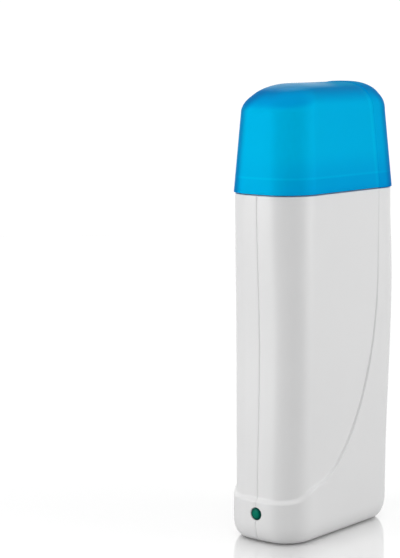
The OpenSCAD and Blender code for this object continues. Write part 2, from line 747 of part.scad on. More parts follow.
module lamp_resistor() {
    color([0.75, 0.65, 0.45]) translate([lamp_lead, resistor_y, lens_z]) rotate([-90, 0, 0]) {
        cylinder(r = resistor_r, h = resistor_l);
        translate([0, 0, resistor_l - 0.5]) cylinder(r = 0.3, h = 2.5);
    }
}

// ---- mains inlet ----

module inlet_housing() {
    color([0.15, 0.15, 0.16]) difference() {
        union() {
            inlet_snout(0, inlet_back, inlet_face - inlet_back);
            translate([-snout_x - flange_edge, flange_in - flange_t,
                inlet_z - snout_h - flange_edge])
                cube([2 * (snout_x + flange_edge), flange_t, 2 * (snout_h + flange_edge)]);
        }
        translate([0, inlet_face - inlet_d, inlet_z]) rotate([-90, 0, 0])
            linear_extrude(inlet_d + 1) {
                square([inlet_w - inlet_h, inlet_h], center = true);
                for (s = [-1, 1]) translate([s * (inlet_w - inlet_h) / 2, 0]) circle(inlet_h / 2);
            }
        for (s = [-1, 1]) translate([s * pin_gap / 2, inlet_back - 1, inlet_z])
            rotate([-90, 0, 0]) cylinder(r = pin_core + 0.02, h = 5);
    }
}

pin_tail = 5;                     // length of each pin's tag behind the housing
pin_back = inlet_back - pin_tail;
tag_t = 0.8;
tag_h = 3.2;
pin_core = pin_r - 0.3;

module inlet_pins() {
    foot = inlet_face - inlet_d - inlet_back + 0.6;
    color([0.8, 0.75, 0.6]) for (s = [-1, 1]) translate([s * pin_gap / 2, 0, inlet_z]) {
        translate([0, inlet_face - inlet_d, 0]) rotate([-90, 0, 0]) rotate_extrude()
            polygon([[0, -foot], [pin_core, -foot], [pin_core, pin_ends], [pin_r, pin_ends],
                [pin_r, pin_l - pin_ends], [pin_core, pin_l], [0, pin_l]]);
        translate([-tag_t / 2, pin_back, -tag_h / 2])
            cube([tag_t, inlet_back - pin_back - 0.3, tag_h]);
    }
}

// ---- wiring: round wires that run along smooth curves through points chosen by hand ----

function unit(v) = v / norm(v);
function spline(p, i, t) = let(
    a = p[max(i - 1, 0)], b = p[i], c = p[i + 1], d = p[min(i + 2, len(p) - 1)])
    0.5 * (2 * b + (c - a) * t + (2 * a - 5 * b + 4 * c - d) * t * t
        + (3 * b - a - 3 * c + d) * t * t * t);
function smooth(p, n) = concat(
    [for (i = [0:len(p) - 2]) for (j = [0:n - 1]) spline(p, i, j / n)], [p[len(p) - 1]]);

// ahead and astern are the directions of the wire at its two ends
module wire(points, ahead, astern, sides = 8, n = 3) {
    p = smooth(points, n);
    m = len(p) - 1;
    way = [for (i = [0:m]) i == 0 ? ahead : i == m ? astern : unit(p[i + 1] - p[i - 1])];
    side = [for (w = way) unit(cross(w, [1, 0.13, 0.07]))];
    ring = [for (i = [0:m]) for (k = [0:sides - 1]) let(q = 360 * k / sides)
        p[i] + wire_r * (side[i] * cos(q) + cross(way[i], side[i]) * sin(q))];
    polyhedron(points = ring, faces = concat(
        [for (i = [0:m - 1]) for (k = [0:sides - 1]) let(
            a = i * sides + k, b = i * sides + (k + 1) % sides, c = b + sides, d = a + sides)
            each [[a, c, b], [a, d, c]]],
        [[for (k = [0:sides - 1]) k]],
        [[for (k = [sides - 1:-1:0]) m * sides + k]]));
}

crimp_x = 7;
crimp_z = inlet_z + 4;
crimp_end = [0, crimp_l];
pair = 1.1;                                       // half the distance of two wires in one sleeve
to_front = [0, -1, 0];
to_rear = [0, 1, 0];
up = [0, 0, 1];
under = well_z - 8;                               // height of the wires below the well

module crimp_sleeves() {
    color([0.7, 0.2, 0.2]) for (s = [-1, 1]) translate([s * crimp_x, crimp_end[0], crimp_z])
        rotate([-90, 0, 0]) cylinder(r = crimp_r, h = crimp_l);
}

module live_wire() {
    x = pin_gap / 2;
    color([0.45, 0.25, 0.12]) wire([[x, pin_back, inlet_z], [x, pin_back - 2.5, inlet_z],
        [x + 1.2, pin_back - 4.5, inlet_z + 1.8], [crimp_x, crimp_end[1] + 2, crimp_z],
        [crimp_x, crimp_end[1], crimp_z]], to_front, to_front);
}

module neutral_wire() {
    x = -pin_gap / 2;
    z = crimp_z - pair;
    color([0.15, 0.35, 0.75]) wire([[x, pin_back, inlet_z], [x, pin_back - 2.5, inlet_z],
        [x - 1.2, pin_back - 4.5, inlet_z + 1.2], [-crimp_x, crimp_end[1] + 2, z],
        [-crimp_x, crimp_end[1], z]], to_front, to_front);
}

module fuse_wire() {
    z = crimp_z + pair;
    color([0.45, 0.25, 0.12]) wire([[crimp_x, crimp_end[0], z], [crimp_x, crimp_end[0] - 4, z],
        [5, -12, z + 3], [2, -22, z + 9], [0, fuse_y + 1, well_z - 4],
        [0, fuse_y, well_z + 8], [0, fuse_y, lead_end[0] - 6], [0, fuse_y, lead_end[0]]],
        to_front, up);
}

module heater_wires() {
    down_y = fuse_y - sleeve_r - clip_t - 2;
    live_y = stack_y - stone_h - electrode_t / 2;
    back_y = stack_y + stone_h + electrode_t / 2;
    x = tab_x + tab_w / 2;
    z = crimp_z + pair;
    color([0.8, 0.8, 0.78]) {
        wire([[0, fuse_y, lead_end[1]], [0, fuse_y, lead_end[1] + 3],
            [1.6, fuse_y - 1.4, lead_end[1] + 6.5], [3.2, down_y + 0.6, lead_end[1] + 5],
            [3.6, down_y, lead_end[1]], [3.6, down_y, fuse_z], [3.6, down_y, fuse_z - 25],
            [3.6, down_y, well_z + 6], [3.8, down_y + 2, well_z - 3], [4, -24, under],
            [5, -10, under], [5.5, 6, under], [x, 20, under + 0.6], [x, live_y - 1.6, under + 3],
            [x, live_y + 0.1, tab_z - 9], [x, live_y, tab_z - 4], [x, live_y, tab_z]], up, up);
        wire([[-crimp_x, crimp_end[1], z], [-crimp_x, crimp_end[1] + 3, z + 0.2],
            [-6.2, 20, z + 5], [-x, 27, z + 11], [-x, back_y - 0.6, z + 17],
            [-x, back_y, tab_z - 5], [-x, back_y, tab_z]], to_rear, up);
    }
}

module lamp_wires() {
    z = crimp_z - pair;
    live_y = resistor_end + 2;
    back_y = lamp_end + 3;
    color([0.2, 0.2, 0.2]) {
        wire([[lamp_lead, live_y, lens_z], [lamp_lead, live_y + 2, lens_z],
            [2.4, live_y + 5, lens_z + 2], [5.6, -5, z - 5], [6.9, -2.4, z - 0.6],
            [crimp_x, crimp_end[0], z]], to_rear, to_rear);
        wire([[-lamp_lead, back_y, lens_z], [-lamp_lead - 0.1, back_y + 2.5, lens_z],
            [-2.4, back_y + 6, lens_z], [-4, -12, lens_z + 2], [-6, -5, z - 4],
            [-6.9, -2.4, z - 0.6], [-crimp_x, crimp_end[0], z]], to_rear, to_rear);
    }
}

cap();
left_shell();
right_shell();
neck_collar();
base_plate();
base_screws();
rubber_feet();
heater_well();
insulation_sheets();
ptc_case();
ptc_stones();
ptc_electrodes();
ptc_film();
leaf_spring();
thermal_fuse();
fuse_sleeve();
fuse_clip();
indicator_lens();
neon_lamp();
lamp_resistor();
lamp_wires();
inlet_housing();
inlet_pins();
live_wire();
neutral_wire();
fuse_wire();
heater_wires();
crimp_sleeves();
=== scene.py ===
# %% [markdown]
# A heater for roll-on wax refills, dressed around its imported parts.
# The construction is already there: a casing of two half-shells, a neck collar, a well, a flat
# heater and a cap that lifts off. Here each surface gets its finish, and the pieces whose
# curves show get a finer skin. Everything is in metres and in the frame of the parts, so
# nothing is fitted by eye. The forms are written in millimetres and scaled once, when a mesh
# is made.

import bmesh
import bpy
import numpy as np
from mathutils import Matrix, Vector


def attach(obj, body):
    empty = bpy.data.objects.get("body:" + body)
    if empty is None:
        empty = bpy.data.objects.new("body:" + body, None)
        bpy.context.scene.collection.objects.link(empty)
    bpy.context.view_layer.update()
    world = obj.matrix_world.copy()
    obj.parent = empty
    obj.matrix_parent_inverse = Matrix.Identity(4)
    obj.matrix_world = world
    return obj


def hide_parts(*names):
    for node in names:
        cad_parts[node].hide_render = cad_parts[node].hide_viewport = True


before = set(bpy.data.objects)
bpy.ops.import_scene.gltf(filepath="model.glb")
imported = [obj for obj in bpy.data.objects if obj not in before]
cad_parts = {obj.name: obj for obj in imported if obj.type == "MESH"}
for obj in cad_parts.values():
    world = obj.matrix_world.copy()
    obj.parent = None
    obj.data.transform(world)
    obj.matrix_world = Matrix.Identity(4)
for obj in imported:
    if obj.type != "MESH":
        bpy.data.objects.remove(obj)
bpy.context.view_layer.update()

MM = 0.001

# %% [markdown]
# The camera. The photograph looks at the corner between the front and one broad side, from a
# little above the cap. Its place was solved from the height, the width and the upright edges
# of the casing, so the picture's middle is the lens's middle and no shift is needed. A camera
# could be aimed by a constraint, but a matrix from three directions says exactly what it does.

# %% The camera
turn, height, distance = np.radians(35.68), 221.5, 812.3
yaw, pitch = np.radians(3.58), np.radians(7.67)
focal_px, picture, sensor = 1832.1, (400, 558), 36

camera_data = bpy.data.cameras.new("studio_camera")
camera = bpy.data.objects.new("studio_camera", camera_data)
bpy.context.scene.collection.objects.link(camera)
camera_data.sensor_width = sensor
camera_data.lens = focal_px * sensor / picture[1]
camera_data.clip_start, camera_data.clip_end = 0.05, 20
eye = np.array([distance * np.sin(turn), -distance * np.cos(turn), height]) * MM
aim = turn + yaw
look = np.array([-np.sin(aim) * np.cos(pitch), np.cos(aim) * np.cos(pitch), -np.sin(pitch)])
right = np.array([np.cos(aim), np.sin(aim), 0])
above = np.cross(right, look)
placed = Matrix([[right[i], above[i], -look[i], eye[i]] for i in range(3)] + [[0, 0, 0, 1]])
camera.matrix_world = placed
bpy.context.scene.camera = camera
print("lens in mm:", round(camera_data.lens, 1))

# %% [markdown]
# The form of the casing. One set of formulas gives the outline at any height: how far the
# narrow sides bow, how the rear swells and how deep the front panel lies. They are the ones
# that the parts were built from, written here for whole arrays of points. Three places follow
# the photograph more closely than the parts do: the panel is a little deeper half-way down, the
# lower end of its edge lifts where it rounds the front corner, and the rear's bottom edge is
# rounder. The curves could have been read back from the meshes, but a formula gives any number
# of points and true curves.

# %% Sizes of the casing, in millimetres
body_w, body_t, body_h, wall, corner_r = 80, 40, 152.5, 2.2, 13.5
half_t, half_w = body_t / 2, body_w / 2
# bow of the front at the joint, half-way (at mid_z) and on the band, and bow of the rear
crown_top, crown_mid, crown_base, rear_crown, mid_z = 2.4, 0.2, 1.7, 0.4, 85
# swell of the rear and its height, and how far the rear is drawn in at the base
belly, belly_z, rear_tuck = 2.0, 108, 1.2
# bottom edge: inset, height of its round and height above the floor; inset and height behind
foot_inset, foot_round, foot_h = 4.4, 8, 0.5
rear_foot_in, rear_foot_up = 6.5, 11
# top of the base band, width of its ledge, and the height over which the step widens to it
band_h, ledge, ledge_run = 20.5, 2.2, 12
# depth of the front panel on the band and at the joint, and the power that it grows by
panel_deep, panel_fine, depth_power = 1.3, 0.3, 1.4
# the panel's edge: y of its upright part and the height where that ends, the width of its step,
# and the most that the columns spread where the edge slopes
edge_y, edge_z, step_w, most_spread = 21.5, 115, 0.7, 9
# the edge's curve: where it starts in front, its power, and its lift round the front corner
edge_from, edge_power = -36, 1.95
edge_lift, lift_y, lift_reach = 0.066, -26.5, (7.6, 10.5)
# on the cap: how far the edge leans forward per millimetre, and the neck's rim above the joint
edge_lean, cap_rim = np.tan(np.radians(4.6)), 7
# the joint's gap, and the height of the lens
cap_gap, lens_z = 0.3, 13.2
print("casing:", body_t, "x", body_w, "x", body_h, "mm")

# %% Curves of the casing
def ease(t):
    """Three times the square less twice the cube: 0 to 1 with level ends."""
    u = np.clip(t, 0, 1)
    return u * u * (3 - 2 * u)


def mix(p, q, t):
    """p, plus the eased share t of the way to q."""
    return p + (q - p) * ease(t)


def front_bow(z):
    """Bow of the front: full on the band, almost flat at mid-height, fullest at the joint."""
    low = mix(crown_base, crown_mid, (z - band_h) / (mid_z - band_h))
    high = mix(crown_mid, crown_top, (z - mid_z) / (body_h - mid_z))
    return np.where(z < mid_z, low, high)


def rear_reach(z):
    """Reach of the rear: drawn in at the base, fullest below the joint."""
    low = mix(-rear_tuck, belly, (z - band_h) / (belly_z - band_h))
    high = mix(belly, 0, (z - belly_z) / (body_h - belly_z))
    return half_w + np.where(z < belly_z, low, high)


def rear_foot(z):
    """Inset of the rear's bottom edge: a quarter ellipse, rounder than on the other sides."""
    u = np.clip((foot_h + rear_foot_up - z) / rear_foot_up, 0, 1)
    return rear_foot_in * (1 - np.sqrt(1 - u * u))


def edge_share(y):
    """How far the panel's edge has risen at y, as a share of one, and how fast: the width share
    to the edge's power, and a small bell that lifts the edge where it rounds the corner."""
    v = np.clip((y - edge_from) / (edge_y - edge_from), 0, None)
    reach = np.where(y < lift_y, *lift_reach)
    bell = edge_lift * np.exp(-((y - lift_y) / reach) ** 2)
    rate = edge_power * v ** (edge_power - 1) / (edge_y - edge_from)
    return v ** edge_power + bell, rate - bell * 2 * (y - lift_y) / reach ** 2


def panel_edge(z):
    """Edge of the front panel: upright, then forward to the band along a superellipse, where
    the height share squared and edge_share add up to one. It ends round the front corner, so
    for the columns it stops just behind that corner."""
    y = np.linspace(-half_w + corner_r + 2, edge_y, 400)
    height = edge_z - (edge_z - band_h) * np.sqrt(np.clip(1 - edge_share(y)[0], 0, 1))
    return np.interp(z, height, y)


def ledge_width(z):
    """Width of the step along the panel's edge: a fine one above, the ledge at the band."""
    near = np.clip((band_h + ledge_run - z) / ledge_run, 0, 1)
    return step_w + (ledge - step_w) * near ** 2


def edge_spread(z):
    """How much longer the step is along y than its least width, because its edge slopes."""
    slope = np.gradient(panel_edge(z), z)
    return np.clip(ledge_width(z) / step_w * np.hypot(1, slope), 1, most_spread)


def panel_depth(y, z):
    """Depth of the front panel at y and z. The sum of the shares is one on the panel's edge,
    so one less the sum, over its slope, is the distance inside it. The depth runs down over
    the step's width, and is a fine line at the joint and a real ledge on the band."""
    u = np.clip((edge_z - z) / (edge_z - band_h), 0, None)
    share_y, rate = edge_share(y)
    slope = np.hypot(rate, 2 * u / (edge_z - band_h)) + 1e-6
    inside = (1 - share_y - u * u) / slope
    share = np.clip((body_h - z) / (body_h - band_h), 0, 1) ** depth_power
    return (panel_fine + (panel_deep - panel_fine) * share) * ease(inside / ledge_width(z) + 1)


print("rear reach at the belly:", float(rear_reach(np.array(belly_z))))

# %% [markdown]
# The outline. Half an outline starts at the seam on the front, goes round a corner, along the
# broad side and round the rear corner to the seam behind. Its points crowd where the panel's
# step is, so the step stays crisp and the flat parts stay light. A loft through drawn curves
# could do this too, but here a row of points is one line of arithmetic.

# %% Half an outline, for all heights at once
front_x = np.array([0, 0.05, 0.1, 0.17, 0.3, 1.2, 2.6, 4.4])
quarter = np.linspace(0, 90, 19)
to_step = np.linspace(0, 1, 13)[1:-1]
round_step = np.array([-1.2, -0.7, -0.35, -0.1, 0.05, 0.2, 0.35, 0.5, 0.65, 0.8, 1.0, 1.4, 2.1])
to_rear = np.linspace(0, 1, 11)[1:-1]
before, after, rear_room = round_step[0], round_step[-1], 2.4


def half_outline(t, f, b, r, cf, cb, e, spread=1):
    """Points x and y of half an outline, one row for each value of the arrays: half thickness t,
    reaches f and b, corner radius r, bows cf and cb, panel's edge e. A bow is its height times
    one less the square of x over t. A corner is a quarter circle. Behind the panel's edge the
    points draw apart by the spread, and together where the rear corner is near."""
    t, f, b, r, cf, cb, e = np.broadcast_arrays(*[np.atleast_1d(v)[:, None] for v in
                                                  (t, f, b, r, cf, cb, e)])
    s, c = np.sin(np.radians(quarter)), np.cos(np.radians(quarter))
    flat = np.minimum(front_x * (t - r) / (half_t - corner_r), t - r)
    x = [flat, t - r + r * s, t + 0 * to_step, t + 0 * round_step, t + 0 * to_rear,
         t - r + r * c, flat[:, ::-1]]
    start, last = -f + r, b - r
    spread = np.broadcast_to(np.atleast_1d(spread)[:, None], e.shape)
    near = np.where(round_step > 0, np.clip((last - e) / rear_room, 0.1, spread), 1)
    past = e + after * near[:, -1:]
    y = [-f + 0 * flat, -f + r - r * c, start + (e + before - start) * to_step,
         e + round_step * near, past + (last - past) * to_rear, last + r * s, b + 0 * flat]
    bows = [-1, -1, 0, 0, 0, 1, 1]
    y = [yy + k * (cf if k < 0 else cb) * (1 - (xx / t) ** 2) if k else yy
         for xx, yy, k in zip(x, y, bows)]
    return np.concatenate(x, 1), np.concatenate(y, 1)


def inward(x, y):
    """Unit vector into the outline at each point: the direction along it, turned a quarter."""
    tx, ty = np.gradient(x, axis=1), np.gradient(y, axis=1)
    tx[:, 0], ty[:, 0] = 1, 0
    tx[:, -1], ty[:, -1] = -1, 0
    length = np.hypot(tx, ty) + 1e-9
    return -ty / length, tx / length


columns = half_outline(half_t, half_w, half_w, corner_r, 1, 1, edge_y)[0].shape[1]
print("points in half an outline:", columns)

# %% [markdown]
# A solid from rows of points. A shell is a sheet of points that goes up the outside and down
# the inside, so the mesh is closed and has its real wall. The faces are four-sided fields
# between neighbouring rows and columns, in the order that turns a sheet of this kind outwards.

# %% Faces and meshes
def fields(rows, cols, closed_rows=False, closed_cols=False):
    """Four corners of each field of a grid, as numbers of its points."""
    j = np.arange(rows if closed_rows else rows - 1)[:, None]
    i = np.arange(cols if closed_cols else cols - 1)[None, :]
    up, on = (j + 1) % rows, (i + 1) % cols
    return np.stack([j * cols + i, j * cols + on, up * cols + on, up * cols + i], -1).reshape(-1, 4)


def piece(name, points, faces, material, body, stands_for, crisp):
    """Makes an object from points in millimetres. Edges sharper than crisp degrees stay sharp,
    and points that lie on each other become one."""
    mesh = bpy.data.meshes.new(name)
    mesh.from_pydata((points * MM).tolist(), [], [list(map(int, f)) for f in faces])
    work = bmesh.new()
    work.from_mesh(mesh)
    bmesh.ops.remove_doubles(work, verts=work.verts, dist=1e-6)
    bmesh.ops.dissolve_degenerate(work, edges=work.edges, dist=1e-7)
    work.to_mesh(mesh)
    work.free()
    made = bpy.data.objects.new(name, mesh)
    bpy.context.scene.collection.objects.link(made)
    finish_piece(made, material, body, stands_for, crisp)
    return made


def finish_piece(made, material, body, stands_for, crisp):
    """Material, smooth shading with crisp edges, and the body that the piece rides on."""
    mesh = made.data
    mesh.materials.clear()
    mesh.materials.append(material)
    mesh.polygons.foreach_set("use_smooth", np.ones(len(mesh.polygons), bool))
    mesh.polygons.foreach_set("material_index", np.zeros(len(mesh.polygons), np.int32))
    mesh.set_sharp_from_angle(angle=np.radians(crisp))
    mesh.update()
    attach(made, body)
    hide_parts(*stands_for)
    print(made.name, "faces:", len(mesh.polygons))


def carve(made, cutters):
    """Cuts simple solids out of a piece and puts the result into its mesh."""
    for cutter in cutters:
        cut = made.modifiers.new("cut", "BOOLEAN")
        cut.operation, cut.solver, cut.object = "DIFFERENCE", "EXACT", cutter
    view = bpy.context.evaluated_depsgraph_get()
    carved = bpy.data.meshes.new_from_object(made.evaluated_get(view))
    made.modifiers.clear()
    old, made.data = made.data, carved
    bpy.data.meshes.remove(old)
    for cutter in cutters:
        mesh = cutter.data
        bpy.data.objects.remove(cutter)
        bpy.data.meshes.remove(mesh)


def cutting_solid(name, rings):
    """A closed solid through rings of points, each an array of points by three, bottom first."""
    points = np.concatenate(rings)
    n = len(rings[0])
    faces = fields(len(rings), n, closed_cols=True).tolist()
    faces += [list(range(n))[::-1], list(range(len(points) - n, len(points)))]
    mesh = bpy.data.meshes.new(name)
    mesh.from_pydata((points * MM).tolist(), [], faces)
    made = bpy.data.objects.new(name, mesh)
    bpy.context.scene.collection.objects.link(made)
    return made


print("a grid of 3 by 4 points has", len(fields(3, 4)), "fields")

# %% [markdown]
# Shared effects. Moulded plastic is never quite even: it has a fine texture from the tool, and
# slow changes of tint and gloss where it cooled. Drawn and rolled metal has long streaks.
# Each effect is one node group with its own inputs, placed in every material that needs it,
# so that a change of scale is a change of one number. A few helpers write the small sums that
# the groups are made of.

# %% Node groups
def new_group(name, ins, outs):
    """A shader node group with number inputs, as (name, value), and number outputs."""
    group = bpy.data.node_groups.new(name, "ShaderNodeTree")
    for label, value in ins:
        socket = group.interface.new_socket(label, in_out="INPUT", socket_type="NodeSocketFloat")
        socket.default_value = value
    for label in outs:
        group.interface.new_socket(label, in_out="OUTPUT", socket_type="NodeSocketFloat")
    return group, group.nodes.new("NodeGroupInput"), group.nodes.new("NodeGroupOutput")


def calc(tree, operation, *values):
    """A math node on sockets and numbers, in the order that it takes them."""
    node = tree.nodes.new("ShaderNodeMath")
    node.operation = operation
    for socket, value in zip(node.inputs, values):
        if isinstance(value, (int, float)):
            socket.default_value = value
        else:
            tree.links.new(value, socket)
    return node.outputs[0]


def sum_of(tree, *terms):
    """The sum of sockets times numbers; a term without a socket is the number alone."""
    total = 0
    for socket, times in terms:
        total = calc(tree, "MULTIPLY_ADD", 1 if socket is None else socket, times, total)
    return total


def step_at(tree, value, start, stop):
    """A soft step of the value: 0 at start, 1 at stop. Start may be the larger of the two."""
    node = tree.nodes.new("ShaderNodeMapRange")
    node.interpolation_type = "SMOOTHSTEP"
    tree.links.new(value, node.inputs["Value"])
    node.inputs["From Min"].default_value, node.inputs["From Max"].default_value = start, stop
    return node.outputs["Result"]


def object_point(tree):
    """The Object coordinates, which move with the piece."""
    return tree.nodes.new("ShaderNodeTexCoord").outputs["Object"]


def split(tree, vector):
    """The three sockets of a vector."""
    node = tree.nodes.new("ShaderNodeSeparateXYZ")
    tree.links.new(vector, node.inputs[0])
    return list(node.outputs)


def noise(tree, vector, scale, detail):
    """A noise texture on a vector, with its scale from a socket or a number."""
    node = tree.nodes.new("ShaderNodeTexNoise")
    tree.links.new(vector, node.inputs["Vector"])
    node.inputs["Detail"].default_value = detail
    if isinstance(scale, (int, float)):
        node.inputs["Scale"].default_value = scale
    else:
        tree.links.new(scale, node.inputs["Scale"])
    return node.outputs["Fac"]


def rough_by(group, ins, outs, share):
    """Sends out a roughness that goes softly from Rough to Rough plus Spread, between a fifth
    and four fifths of the share."""
    node = group.nodes.new("ShaderNodeMapRange")
    node.interpolation_type = "SMOOTHSTEP"
    node.inputs["From Min"].default_value, node.inputs["From Max"].default_value = 0.2, 0.8
    group.links.new(share, node.inputs["Value"])
    group.links.new(ins.outputs["Rough"], node.inputs["To Min"])
    most = calc(group, "ADD", ins.outputs["Rough"], ins.outputs["Spread"])
    group.links.new(most, node.inputs["To Max"])
    group.links.new(node.outputs["Result"], outs.inputs["Roughness"])


def moulded_group():
    """Tool texture and slow cooling marks: outputs a height, a tint share and a roughness."""
    group, ins, outs = new_group("moulded_skin",
                                 [("Grain", 2500), ("Rough", 0.4), ("Spread", 0.05)],
                                 ["Height", "Tint", "Roughness"])
    where = object_point(group)
    group.links.new(noise(group, where, ins.outputs["Grain"], 3), outs.inputs["Height"])
    slow = noise(group, where, 28, 3)
    group.links.new(slow, outs.inputs["Tint"])
    rough_by(group, ins, outs, slow)
    return group


def drawn_group():
    """Long streaks along Z, from noise on coordinates that are squeezed along it: the same
    three outputs as moulded_skin."""
    group, ins, outs = new_group("drawn_metal",
                                 [("Across", 900), ("Rough", 0.3), ("Spread", 0.15)],
                                 ["Height", "Tint", "Roughness"])
    where = object_point(group)
    squeeze = group.nodes.new("ShaderNodeVectorMath")
    squeeze.operation = "MULTIPLY"
    squeeze.inputs[1].default_value = (1, 1, 0.03)
    group.links.new(where, squeeze.inputs[0])
    streaks = noise(group, squeeze.outputs[0], ins.outputs["Across"], 4)
    group.links.new(streaks, outs.inputs["Height"])
    group.links.new(noise(group, where, 60, 3), outs.inputs["Tint"])
    rough_by(group, ins, outs, streaks)
    return group


# %% [markdown]
# The cap has an effect of its own: light and shade painted into its colour. Its wall is milky,
# so the neck that stands behind it and the way the wall bends would show as soft changes of
# shade; here they are painted. Tracing that light through two thick walls would be slow and
# grainy, so each painted shade or light is a soft step of a distance or of the surface's tilt,
# times a strength, and all are summed. Distances are in metres. They are taken from the panel's
# edge, from the neck's rim and from the middle, so they ride with the cap.

# %% Steps (start, stop) and strengths of the cap's painted shades and lights
# the neck's painted shades weaken towards the middle of the cap, down to a share of themselves
neck_side, neck_least = (0.006, 0.017), 0.35
neck_shades = [((0.012, 0), -0.14), ((0.001, -0.001), -0.05), ((-0.003, -0.008), -0.12)]
# painted shade behind the panel's edge
panel_step, panel_shade = (-0.0006, 0), -0.09
# painted fine lines of light: middle, reach to both sides, strength
panel_line, rim_line = (-0.0016, 0.0016, 0.09), (0.0004, 0.0008, 0.12)
# painted shade on the shoulders, and more of it on the front ones
shoulder_tilt, shoulder_shade = (0.28, 0.68), -0.1
front_tilt, front_shade = (0, -0.4), -0.17
# painted light on the crest, and the coat on the front half of the crest
crest_tilt, crest_light = (0.87, 0.985), 0.36
sheen_y, sheen = (0.008, -0.008), 0.34


# %% The cap's painted light and shade
def cap_painted_light_group():
    """Painted light and shade of the cap, as a gain about 1, and a mask of the front half of its
    flat top. The gain paints shade where the neck stands behind the lower wall, behind the panel's
    edge and over the shoulders, most so in front, and paints light on the crest and along two fine
    lines."""
    group, ins, outs = new_group("cap_painted_light", [("Strength", 1.0)], ["Gain", "Top"])
    x, y, z = split(group, object_point(group))
    normal = group.nodes.new("ShaderNodeNewGeometry").outputs["Normal"]
    _, tilt_y, tilt_z = split(group, normal)
    aside = step_at(group, calc(group, "ABSOLUTE", x), *neck_side)
    near = sum_of(group, (aside, 1 - neck_least), (None, neck_least))
    behind = sum_of(group, (y, 1), (z, edge_lean),
                    (None, -MM * (edge_y + edge_lean * (body_h + cap_gap))))
    up = sum_of(group, (z, 1), (None, -MM * (body_h + cap_rim)))
    # painted light on the crest; painted shade on the shoulders, more of it in front
    crest = step_at(group, tilt_z, *crest_tilt)
    shoulder = step_at(group, tilt_z, *shoulder_tilt)
    front = step_at(group, tilt_y, *front_tilt)
    # painted shades of the neck behind the lower wall, then of the panel's edge, the shoulders and
    # the crest
    parts = [(calc(group, "MULTIPLY", near, step_at(group, up, *step)), strength)
             for step, strength in neck_shades]
    parts += [(step_at(group, behind, *panel_step), panel_shade), (shoulder, shoulder_shade),
              (calc(group, "MULTIPLY", shoulder, front), front_shade), (crest, crest_light)]
    # two painted fine lines of light, along the panel's edge and along the neck's rim
    for value, (middle, reach, strength) in ((behind, panel_line), (up, rim_line)):
        for start in (middle - reach, middle + reach):
            parts.append((step_at(group, value, start, middle), strength))
        parts.append((None, -strength))
    total = calc(group, "MULTIPLY", sum_of(group, *parts), ins.outputs["Strength"])
    group.links.new(sum_of(group, (total, 1), (None, 1)), outs.inputs["Gain"])
    top = calc(group, "MULTIPLY", crest, step_at(group, y, *sheen_y))
    group.links.new(top, outs.inputs["Top"])
    return group


groups = {"moulded": moulded_group(), "drawn": drawn_group(), "cap": cap_painted_light_group()}
print("node groups:", [g.name for g in groups.values()])

# %% [markdown]
# Materials. All of them are a Principled shader fed by one of the first two groups: two close
# colours are mixed by the tint, the roughness wanders a little, and the height drives a small
# bump. Values that are the same all over sit on the shader's own sockets.

# %% A material from a group
bump_strength = 0.6


def finish(name, kind, dark, light, scale, rough, spread, bump, **plain):
    """A Principled material. dark and light are the two colours, scale the texture's fineness,
    bump its depth in metres, and plain the values set on the shader's own sockets."""
    material = bpy.data.materials.new(name)
    material.use_nodes = True
    tree = material.node_tree
    shader = tree.nodes["Principled BSDF"]
    effect = tree.nodes.new("ShaderNodeGroup")
    effect.node_tree = groups[kind]
    effect.inputs[0].default_value = scale
    effect.inputs[1].default_value = rough
    effect.inputs[2].default_value = spread
    tint = tree.nodes.new("ShaderNodeMix")
    tint.data_type = "RGBA"
    tint.inputs["A"].default_value = (*dark, 1)
    tint.inputs["B"].default_value = (*light, 1)
    tree.links.new(effect.outputs["Tint"], tint.inputs["Factor"])
    tree.links.new(tint.outputs["Result"], shader.inputs["Base Color"])
    tree.links.new(effect.outputs["Roughness"], shader.inputs["Roughness"])
    relief = tree.nodes.new("ShaderNodeBump")
    relief.inputs["Strength"].default_value = bump_strength
    relief.inputs["Distance"].default_value = bump
    tree.links.new(effect.outputs["Height"], relief.inputs["Height"])
    tree.links.new(relief.outputs["Normal"], shader.inputs["Normal"])
    for label, value in plain.items():
        shader.inputs[label.replace("_", " ")].default_value = value
    return material


def toward(tree, pale, deep, share):
    """The colour of a socket, mixed by the share towards another colour."""
    node = tree.nodes.new("ShaderNodeMix")
    node.data_type = "RGBA"
    node.inputs["B"].default_value = (*deep, 1)
    tree.links.new(share, node.inputs["Factor"])
    tree.links.new(pale, node.inputs["A"])
    return node.outputs["Result"]


# %% [markdown]
# The white casing is satin moulded plastic: a faint grain, a soft sheen and no colour. The cap
# is the same family of plastic, coloured through and so milky that most of its light is
# scattered and only a little passes. The neck behind its wall is a painted shade. Only the front
# of its flat top has a coat, for the pale sheen there.

# %% Plastics
white_abs = finish("white_abs", "moulded", (0.80, 0.80, 0.802), (0.83, 0.83, 0.83),
                   3200, 0.34, 0.07, 0.00002, Coat_Weight=0.06, Coat_Roughness=0.25)
collar_white = finish("collar_white", "moulded", (0.76, 0.77, 0.78), (0.80, 0.81, 0.81),
                      2400, 0.45, 0.08, 0.00003)
base_white = finish("base_white", "moulded", (0.74, 0.74, 0.745), (0.79, 0.79, 0.79),
                    1500, 0.5, 0.1, 0.00006)
azure = finish("azure_cap", "moulded", (0.0, 0.585, 0.98), (0.0, 0.61, 1.0),
               1800, 0.34, 0.02, 0.00001, Transmission_Weight=0.17, IOR=1.14, Metallic=0.01,
               Coat_Roughness=0.1, Specular_IOR_Level=0.0, Specular_Tint=(0.0, 0.45, 0.9, 1))
lens_green = finish("lens_green", "moulded", (0.0, 0.15, 0.095), (0.0, 0.19, 0.12),
                    900, 0.22, 0.05, 0.00001, Specular_IOR_Level=0.1,
                    Specular_Tint=(0.2, 1, 0.8, 1))
inlet_black = finish("inlet_black", "moulded", (0.018, 0.018, 0.02), (0.03, 0.03, 0.032),
                     2000, 0.42, 0.1, 0.00004)
